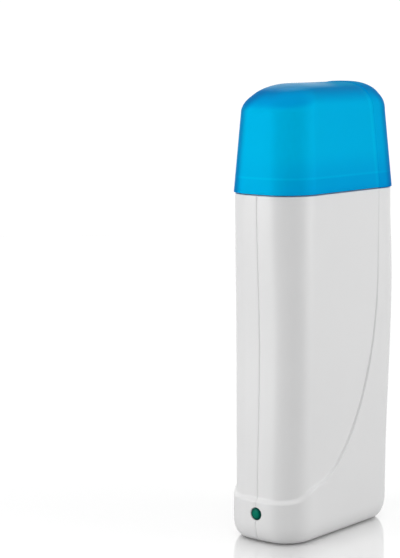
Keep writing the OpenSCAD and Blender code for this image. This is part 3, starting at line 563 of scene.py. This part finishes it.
foot_rubber = finish("foot_rubber", "moulded", (0.03, 0.03, 0.032), (0.05, 0.05, 0.052),
                     1200, 0.75, 0.12, 0.00008, Sheen_Weight=0.2)
film_amber = finish("film_amber", "moulded", (0.55, 0.26, 0.03), (0.68, 0.36, 0.05),
                    600, 0.2, 0.1, 0.00002, Coat_Weight=0.4)
print("plastics ready")

# %% [markdown]
# Two plastics have light and shade painted into their colour. Where the cap's wall is seen
# edge-on it is painted a deeper blue, a painted shade that stands in for the longer path of the
# light through the plastic, and the painted light and shade of its effect come on top. Its green
# takes the whole gain and its blue two fifths of it, so a painted shade is a deeper blue and not
# only a darker one. The lens is painted darker at its rim, a painted shade where it sits in the
# bore, and keeps its lighter green in the middle.

# %% Painted shade on the cap's edges and at the lens's rim
# painted edge shade of the cap: its colour and the facing range it comes in over; the blue's share
# of the gain
edge_shade_azure, edge_on_shade_range, blue_gain = (0.0, 0.3, 0.64), (0.33, 0.72), 0.4
# painted shade at the lens's rim: its colour, and the radii between which it comes in
lens_rim_shade_green, lens_rim_shade_r = (0.0, 0.06, 0.045), (0.0012, 0.0023)


def paint_cap_shades(material):
    """Paints shade into the cap's colour where its wall is seen edge-on, scales it by the painted
    light and shade of its effect, and coats its top.
    """
    tree = material.node_tree
    shader = tree.nodes["Principled BSDF"]
    facing = tree.nodes.new("ShaderNodeLayerWeight")
    facing.inputs["Blend"].default_value = 0.5
    colour = toward(tree, shader.inputs["Base Color"].links[0].from_socket, edge_shade_azure,
                    step_at(tree, facing.outputs["Facing"], *edge_on_shade_range))
    effect = tree.nodes.new("ShaderNodeGroup")
    effect.node_tree = groups["cap"]
    gain = effect.outputs["Gain"]
    gains = tree.nodes.new("ShaderNodeCombineXYZ")
    gains.inputs["X"].default_value = 1
    tree.links.new(gain, gains.inputs["Y"])
    blue = sum_of(tree, (None, 1 - blue_gain), (gain, blue_gain))
    tree.links.new(blue, gains.inputs["Z"])
    scaled = tree.nodes.new("ShaderNodeVectorMath")
    scaled.operation = "MULTIPLY"
    tree.links.new(colour, scaled.inputs[0])
    tree.links.new(gains.outputs["Vector"], scaled.inputs[1])
    tree.links.new(scaled.outputs["Vector"], shader.inputs["Base Color"])
    coat = sum_of(tree, (effect.outputs["Top"], sheen))
    tree.links.new(coat, shader.inputs["Coat Weight"])


def paint_lens_rim_shade(material):
    """Paints shade at the lens's rim: mixes in the rim's darker green by the distance from the
    axis of the bore.
    """
    tree = material.node_tree
    shader = tree.nodes["Principled BSDF"]
    across = tree.nodes.new("ShaderNodeVectorMath")
    across.operation = "MULTIPLY_ADD"
    across.inputs[1].default_value = (1, 0, 1)
    across.inputs[2].default_value = (0, 0, -lens_z * MM)
    tree.links.new(object_point(tree), across.inputs[0])
    radius = tree.nodes.new("ShaderNodeVectorMath")
    radius.operation = "LENGTH"
    tree.links.new(across.outputs["Vector"], radius.inputs[0])
    colour = toward(tree, shader.inputs["Base Color"].links[0].from_socket, lens_rim_shade_green,
                    step_at(tree, radius.outputs["Value"], *lens_rim_shade_r))
    tree.links.new(colour, shader.inputs["Base Color"])


paint_cap_shades(azure)
paint_lens_rim_shade(lens_green)
print("nodes in the cap's material:", len(azure.node_tree.nodes))

# %% Metals, ceramic, mica, glass and insulation
aluminium = finish("well_aluminium", "drawn", (0.74, 0.75, 0.76), (0.84, 0.84, 0.85),
                   1100, 0.26, 0.16, 0.00002, Metallic=1.0)
case_aluminium = finish("case_aluminium", "drawn", (0.68, 0.69, 0.7), (0.78, 0.78, 0.79),
                        1500, 0.34, 0.14, 0.00003, Metallic=1.0)
zinc_steel = finish("zinc_steel", "drawn", (0.52, 0.53, 0.56), (0.66, 0.66, 0.67),
                    1400, 0.28, 0.18, 0.00002, Metallic=1.0)
spring_steel = finish("spring_steel", "drawn", (0.42, 0.43, 0.46), (0.56, 0.57, 0.59),
                      1700, 0.3, 0.15, 0.00002, Metallic=1.0)
fuse_metal = finish("fuse_metal", "drawn", (0.62, 0.6, 0.56), (0.72, 0.7, 0.66),
                    1200, 0.3, 0.12, 0.00002, Metallic=1.0)
brass = finish("electrode_brass", "drawn", (0.62, 0.45, 0.2), (0.76, 0.58, 0.3),
               1300, 0.3, 0.16, 0.00002, Metallic=1.0)
nickel_pins = finish("nickel_pins", "drawn", (0.66, 0.64, 0.58), (0.78, 0.76, 0.7),
                     1600, 0.2, 0.12, 0.00001, Metallic=1.0)
ptc_ceramic = finish("ptc_ceramic", "moulded", (0.1, 0.095, 0.09), (0.17, 0.16, 0.15),
                     1800, 0.7, 0.15, 0.00008)
mica = finish("mica", "moulded", (0.5, 0.42, 0.27), (0.72, 0.64, 0.46),
              420, 0.35, 0.3, 0.00005, Coat_Weight=0.3)
lamp_glass = finish("lamp_glass", "moulded", (0.82, 0.86, 0.84), (0.9, 0.92, 0.9),
                    300, 0.03, 0.03, 0.00001, Transmission_Weight=0.9, IOR=1.5)
sleeve_fibre = finish("sleeve_fibre", "moulded", (0.68, 0.65, 0.56), (0.84, 0.82, 0.74),
                      1500, 0.6, 0.2, 0.0001)
resistor_coat = finish("resistor_coat", "moulded", (0.5, 0.4, 0.24), (0.62, 0.5, 0.32),
                       900, 0.45, 0.15, 0.00004)
wire_brown = finish("wire_brown", "moulded", (0.12, 0.045, 0.02), (0.18, 0.07, 0.03),
                    1200, 0.35, 0.12, 0.00003)
wire_blue = finish("wire_blue", "moulded", (0.02, 0.08, 0.34), (0.03, 0.12, 0.45),
                   1200, 0.35, 0.12, 0.00003)
wire_white = finish("wire_white", "moulded", (0.7, 0.7, 0.68), (0.8, 0.8, 0.78),
                    1000, 0.55, 0.12, 0.00004)
wire_black = finish("wire_black", "moulded", (0.02, 0.02, 0.02), (0.035, 0.035, 0.035),
                    1200, 0.35, 0.12, 0.00003)
crimp_red = finish("crimp_red", "moulded", (0.34, 0.02, 0.02), (0.46, 0.03, 0.03),
                   800, 0.25, 0.12, 0.00003, Transmission_Weight=0.15)
print("materials:", len(bpy.data.materials))

# %% Finishes for the parts that stay as they are
finishes = {
    "base_plate": base_white, "base_screws": zinc_steel, "rubber_feet": foot_rubber,
    "heater_well": aluminium, "insulation_sheets": mica, "ptc_case": case_aluminium,
    "ptc_stones": ptc_ceramic, "ptc_electrodes": brass, "ptc_film": film_amber,
    "leaf_spring": spring_steel, "thermal_fuse": fuse_metal, "fuse_sleeve": sleeve_fibre,
    "fuse_clip": spring_steel, "neon_lamp": lamp_glass, "lamp_resistor": resistor_coat,
    "lamp_wires": wire_black, "inlet_housing": inlet_black, "inlet_pins": nickel_pins,
    "live_wire": wire_brown, "neutral_wire": wire_blue, "fuse_wire": wire_brown,
    "heater_wires": wire_white, "crimp_sleeves": crimp_red, "cap": azure,
    "left_shell": white_abs, "right_shell": white_abs, "neck_collar": collar_white,
    "indicator_lens": lens_green,
}
for node, material in finishes.items():
    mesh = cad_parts[node].data
    mesh.materials.clear()
    mesh.materials.append(material)
print("parts with a finish:", len(finishes))

# %% [markdown]
# The half-shells. Each is one injection moulding: an even wall that closes inwards at the base
# to hold the plate, with the front panel sunk behind a soft ledge. A box with bevels would miss
# the panel's long curve. Here the smooth outline comes first, and the panel's depth is then
# taken off along the surface's own direction, so the step keeps its width all the way round.
# The edges at the seam are broken by a quarter of a millimetre, as moulded halves are, which
# is what makes the seam show as a fine line.

# %% Rows of a half-shell
rise = np.cumsum(np.r_[0, np.full(26, 0.24), np.linspace(0.28, 1.9, 84)])
rise = rise[rise < edge_z - band_h]  # heights above the band, dense where the edge runs flat
foot_q = np.linspace(0, 90, 17)[:-1]
rows_z = np.concatenate([
    [foot_h + foot_round, 9.3, 10.2, 11.5, 14, 16.5], np.arange(band_h - ledge - 0.4, band_h, 0.2),
    band_h + rise, np.linspace(edge_z, body_h - 1.2, 18)])
rim_z = np.array([body_h - 0.25, body_h - 0.08, body_h])
rim_in = np.array([0, 0.07, 0.25])
seam_in, seam_w, seam_power, per_mm = 0.24, 0.3, 1.6, 4
print("rows of a half-shell:", len(foot_q) + len(rows_z) + len(rim_z))


def skin(inset, edges):
    """Points of one skin of a half-shell, rows from the base up. The foot is a quarter ellipse
    of inset and height; edges is 1 on the outside, where the seam and the rim are broken."""
    q = np.radians(foot_q)
    floor, arc = foot_h + inset, foot_round - inset / 2
    low_in = inset + (foot_inset - inset / 4) * (1 - np.sin(q))
    low_z = floor + arc * (1 - np.cos(q))
    z_form = np.r_[np.zeros(len(q)), np.maximum(rows_z, floor + arc), rim_z]
    w = np.r_[low_in, np.full(len(rows_z), inset), inset + rim_in * edges]
    rear_w = np.maximum(w, rear_foot(np.r_[low_z, z_form[len(q):]]) * edges)
    spread = edge_spread(np.arange(0, body_h + 1, 1 / per_mm))
    x, y = half_outline(half_t - w, half_w - w, rear_reach(z_form) - rear_w,
                        corner_r - np.minimum(w, corner_r - 1), front_bow(z_form), rear_crown,
                        panel_edge(z_form), spread[(z_form * per_mm).astype(int)])
    z = np.r_[low_z, z_form[len(q):]]
    z = np.broadcast_to(z[:, None], x.shape)
    nx, ny = inward(x, y)
    depth = panel_depth(y, z)
    seam = seam_in * np.clip(1 - x / seam_w, 0, 1) ** seam_power * edges
    return np.stack([x + nx * depth, y + ny * depth + np.sign(-y) * seam, z], -1)


# %% A whole half-shell
plate_t, plate_w, plate_r, plain_e = 12.85, 31.65, 6.25, 5


def plate_hole(z):
    """Half the outline of the base opening at height z, a rectangle with round corners. It has
    no panel, so its step's columns stand at plain_e."""
    x, y = half_outline(plate_t, plate_w, plate_w, plate_r, 0, 0, plain_e)
    return np.stack([x, y, np.full_like(x, z)], -1)


def half_shell(side):
    """Up the outside, down the inside and through the base opening. side is 1 for the right
    shell and -1 for its mirror image. A known fault, hidden between the halves: the fields
    across the wall at the seam pair each row outside with the one below it inside, so the
    lowest ones lap over each other and a narrow triangle at the rim stays open."""
    outer, inner = skin(0, 1), skin(wall, 0)
    rows = np.concatenate([outer, inner[::-1], plate_hole(foot_h + wall), plate_hole(foot_h)])
    m, n = rows.shape[:2]
    faces = fields(m, n, closed_rows=True).tolist()
    for i in (0, n - 1):
        for j in range(len(outer) - 1):
            a, b = j * n + i, (j + 1) * n + i
            c, d = (m - 3 - j) * n + i, (m - 2 - j) * n + i
            faces.append([a, b, c, d] if i == 0 else [a, d, c, b])
        a, b, c, d = [k * n + i for k in (0, m - 3, m - 2, m - 1)]
        faces.append([a, b, c, d] if i == 0 else [a, d, c, b])
    points = rows.reshape(-1, 3)
    if side < 0:
        points = points * [-1, 1, 1]
        faces = [f[::-1] for f in faces]
    return points, faces


# %% Openings and the two shells
full_turn = np.linspace(0, 2 * np.pi, 97)[:-1]
# radius and y along the bore of the lens, from outside in
bore = [(3.3, -45), (3.3, -41.95), (2.8, -41.4), (2.8, -36)]
# the inlet's slot: radius with its play, half the length between the round ends, height, y
slot_r, slot_reach, slot_z, slot_y = 5.6 + 0.15, 4.0, 22, (33.5, 45)
shell_crisp = 30


def lens_hole():
    """A bore along Y that opens to a small bevel at the outside."""
    c, s = np.cos(full_turn), np.sin(full_turn)
    return cutting_solid("lens_hole", [np.stack([r * c, 0 * c + y, lens_z - r * s], -1)
                                       for r, y in bore])


def inlet_hole():
    """A slot along Y with round ends, a little larger than the inlet's nose."""
    c, s = np.cos(full_turn), np.sin(full_turn)
    x = slot_r * c + slot_reach * np.sign(c) * (np.abs(c) > 1e-9)
    z = slot_z - slot_r * s
    return cutting_solid("inlet_hole", [np.stack([x, 0 * c + y, z], -1) for y in slot_y])


for name, side in (("right_shell", 1), ("left_shell", -1)):
    points, faces = half_shell(side)
    shell = piece(name + "_skin", points, faces, white_abs, "casing", (name,),
                  shell_crisp)
    carve(shell, [lens_hole(), inlet_hole()])
    finish_piece(shell, white_abs, "casing", (name,), shell_crisp)

# %% [markdown]
# The cap. It continues the casing's outline, leans in on all sides and closes over rounded
# shoulders: soft at the front, squarer at the rear. A subdivided box would need many holding
# edges to do this. The rows follow three superellipses instead, one each for the broad sides,
# the front and the rear, that meet in a short crest.

# %% Sizes of the cap, in millimetres
cap_h, cap_wall, cap_over, cap_side = 47.5, 1.8, 0.6, 34.2
# lean and power of the broad sides, the front and the rear
leans = np.radians([3.7, 2.5, 4.9])
squares = np.array([2.2, 1.9, 2.6])
# half the crest's width, and how far each side falls in over its shoulder
ridge, front_fall, rear_fall = 1.5, 22.5, 17.0
falls = np.array([half_t + cap_over - cap_side * np.tan(leans[0]) - ridge, front_fall, rear_fall])
# the broken edge of the rim, the rows that close the crest, and the fullest corner
rim_break = np.array([[0.22], [0.06]])
close = np.array([0.5, 1.0, 1.4, ridge - 1e-4])
fullest = 0.88
print("crest from", -(half_w + cap_over - cap_side * np.tan(leans[1]) - falls[1]))


# %% One skin of the cap
def cap_skin(w, edges):
    """Points of one skin, rows from the rim to the crest, columns all the way round. Below the
    shoulder the insets grow with the height times the tangent of each lean. Above it the inset
    is the fall times one less the root of one less the height share to that side's power. edges
    is 1 on the outside, where the rim is broken."""
    rise_all, dome = cap_h - cap_gap, cap_h - cap_gap - cap_side - w
    v = np.sin(np.radians(np.linspace(0, 90, 34)[1:])) ** (2 / squares[0])
    low = np.array([0, 0.08, 0.25, 0.7, 1.5, 3, 6, 10, 14, 18, 22, 26, 30, cap_side])
    h = np.r_[low, cap_side + dome * v]
    ins = np.concatenate([low[:, None] * np.tan(leans), cap_side * np.tan(leans) + (falls - w)
                          * (1 - np.clip(1 - v[:, None] ** squares, 0, 1) ** (1 / squares))])
    ins[:2] += rim_break * edges
    h = np.r_[h, np.full(len(close), h[-1])]
    ins = np.concatenate([ins, ins[-1] + close[:, None]])
    t = half_t + cap_over - w - ins[:, 0]
    reach = half_w + cap_over - w
    fade = np.clip(1 - h / rise_all, 0, 1)
    r = np.minimum(corner_r + cap_over - w, t * fullest)
    edge = np.minimum(edge_y - edge_lean * h, reach - ins[:, 2] - r - 1.5 * step_w)
    x, y = half_outline(t, reach - ins[:, 1], reach - ins[:, 2], r, crown_top * fade,
                        rear_crown * fade, edge)
    z = np.broadcast_to((body_h + cap_gap + h)[:, None], x.shape)
    p = np.stack([x, y, z], -1)
    p = np.concatenate([p, (p * [-1, 1, 1])[:, -2:0:-1]], 1)
    along = np.roll(p, -1, 1) - np.roll(p, 1, 1)
    up = np.gradient(p, axis=0)
    out = np.cross(along, up)
    out /= np.linalg.norm(out, axis=-1, keepdims=True) + 1e-9
    out[-len(close):] = (0, 0, 1)
    depth = panel_fine * ease((edge[:, None] - p[..., 1]) / step_w + 1)
    return p - out * depth[..., None]


outer, inner = cap_skin(0, 1), cap_skin(cap_wall, 0)
rows = np.concatenate([outer[::-1], inner])
m, n = rows.shape[:2]
faces = [f[::-1] for f in fields(m, n, closed_cols=True).tolist()]
piece("cap_shell", rows.reshape(-1, 3), faces, azure, "cap", ("cap",), 50)

# %% [markdown]
# The neck collar closes the top of the casing round the well, and guides the cap. Its outline
# is the casing's own, drawn in by the wall, so it is made as rows again: up the outside, over
# a rounded edge, across the top and down the mouth.

# %% The collar
collar_in, collar_r, collar_e = 2.4, 10.8, 20
well_top, neck_top, edge_r = 146.0, 158.7, 0.6
mouth_t, mouth_l, mouth_r = 15.55, 26.3, 7.3


def stacked(x, y, z):
    """Closed outlines from halves of them, one above the other at the heights z."""
    p = np.stack([x, y], -1)
    p = np.concatenate([p, (p * [-1, 1])[:, -2:0:-1]], 1)
    return np.concatenate([p, np.repeat(z[:, None, None], p.shape[1], 1)], -1)


soft = np.radians(np.linspace(0, 90, 6))
out_in = np.r_[0, edge_r * (1 - np.cos(soft))]
out_z = np.r_[well_top, neck_top - edge_r + edge_r * np.sin(soft)]
w = collar_in + panel_fine + out_in
x, y = half_outline(half_t - w, half_w - w, half_w - w, collar_r - out_in, crown_top, rear_crown,
                    collar_e)
outside = stacked(x, y, out_z)
w = np.r_[edge_r * (1 - np.sin(soft)), 0]
mouth_z = np.r_[neck_top - edge_r + edge_r * np.cos(soft), well_top]
x, y = half_outline(mouth_t + w, mouth_l + w, mouth_l + w, mouth_r + w, 0, 0, plain_e)
inside = stacked(x, y, mouth_z)
rows = np.concatenate([outside, inside])
faces = fields(len(rows), rows.shape[1], closed_rows=True, closed_cols=True)
piece("collar_ring", rows.reshape(-1, 3), faces, collar_white, "casing",
      ("neck_collar",), 40)

# %% [markdown]
# The indicator lens is a small turned form: a dome that stands a third of a millimetre proud,
# a straight side in the bore and a flange behind. A profile of radius and height, turned round
# the axis of the bore, gives it exactly. A known fault that the render doesn't show: turned
# this way, its faces point inwards.

# %% The lens
def turned(profile, steps, place):
    """Turns a profile of (radius, height) round an axis: place puts radius, angle and height
    into x, y and z."""
    a = np.linspace(0, 2 * np.pi, steps + 1)[:-1]
    r, h = profile[:, :1], profile[:, 1:]
    return place(r * np.cos(a), r * np.sin(a), h + 0 * a)


lens_face, lens_r, lens_rise, lens_sides = -42.05, 2.7, 0.75, 64
flange_r, flange_y, lens_back = 3.6, -39.35, -38.15
q = np.radians(np.linspace(0, 90, 10))
dome = np.stack([lens_r * np.sin(q), lens_face + lens_rise * (1 - np.cos(q))], -1)
back = np.array([[lens_r, flange_y], [flange_r, flange_y], [flange_r, lens_back], [0, lens_back]])
profile = np.concatenate([[[1e-4, lens_face]], dome[1:], back])
points = turned(profile, lens_sides, lambda a, b, h: np.stack([a, h, lens_z + b], -1))
faces = fields(len(profile), lens_sides, closed_cols=True)
piece("lens_dome", points.reshape(-1, 3), faces, lens_green, "casing",
      ("indicator_lens",), 40)

# %% [markdown]
# The studio: a pale glossy floor, a white surround and large soft lights. The photograph's
# corner that faces the camera is the darkest part of the casing, so the lights stand on both
# sides of it and the front stays weak. What the camera and mirrors see of the surround is white,
# but it lights the object less, so the white casing keeps its greys. The floor does the same,
# with a faint glow for the camera alone. Neither is part of the object.

# %% Floor and light
reach, floor_grey, floor_glow = 6.0, 0.52, 0.055
lit, shown = 0.32, 1.05

floor_mesh = bpy.data.meshes.new("floor")
corners = [(-reach, -reach, 0), (reach, -reach, 0), (reach, reach, 0), (-reach, reach, 0)]
floor_mesh.from_pydata(corners, [], [(0, 1, 2, 3)])
floor = bpy.data.objects.new("floor", floor_mesh)
bpy.context.scene.collection.objects.link(floor)
floor_white = bpy.data.materials.new("floor_white")
floor_white.use_nodes = True
tree = floor_white.node_tree
paint = tree.nodes["Principled BSDF"]
paint.inputs["Roughness"].default_value = 0.04
paint.inputs["Metallic"].default_value = 0.45
seen = tree.nodes.new("ShaderNodeLightPath").outputs["Is Camera Ray"]
shade = tree.nodes.new("ShaderNodeMix")
shade.data_type = "RGBA"
shade.inputs["A"].default_value = (floor_grey, floor_grey, floor_grey, 1)
shade.inputs["B"].default_value = (1, 1, 1, 1)
tree.links.new(seen, shade.inputs["Factor"])
tree.links.new(shade.outputs["Result"], paint.inputs["Base Color"])
glow = calc(tree, "MULTIPLY", seen, floor_glow)
tree.links.new(glow, paint.inputs["Emission Strength"])
floor_mesh.materials.append(floor_white)

world = bpy.data.worlds.new("studio")
bpy.context.scene.world = world
world.use_nodes = True
tree = world.node_tree
sky = tree.nodes["Background"]
sky.inputs["Color"].default_value = (1, 1, 1, 1)
path = tree.nodes.new("ShaderNodeLightPath")
seen = calc(tree, "MAXIMUM", path.outputs["Is Camera Ray"], path.outputs["Is Glossy Ray"])
level = tree.nodes.new("ShaderNodeMapRange")
tree.links.new(seen, level.inputs["Value"])
level.inputs["To Min"].default_value, level.inputs["To Max"].default_value = lit, shown
tree.links.new(level.outputs["Result"], sky.inputs["Strength"])
bpy.context.scene.view_settings.view_transform = "Standard"


def soft_light(name, place, target, size, power):
    """A square area light that looks at a point, in metres and watts."""
    data = bpy.data.lights.new(name, "AREA")
    data.size, data.energy = size, power
    light = bpy.data.objects.new(name, data)
    light.location = place
    light.rotation_mode = "QUATERNION"
    light.rotation_quaternion = (Vector(target) - Vector(place)).to_track_quat("-Z", "Y")
    bpy.context.scene.collection.objects.link(light)


soft_light("left_light", (-0.5, -0.87, 0.25), (0, 0, 0.1), 0.5, 4.1)
soft_light("right_light", (0.91, 0.42, 0.25), (0, 0, 0.1), 0.6, 4.2)
sun = bpy.data.objects.new("sky_light", bpy.data.lights.new("sky_light", "SUN"))
sun.data.energy, sun.data.angle = 1.1, np.radians(100)  # as wide as a clouded sky
bpy.context.scene.collection.objects.link(sun)
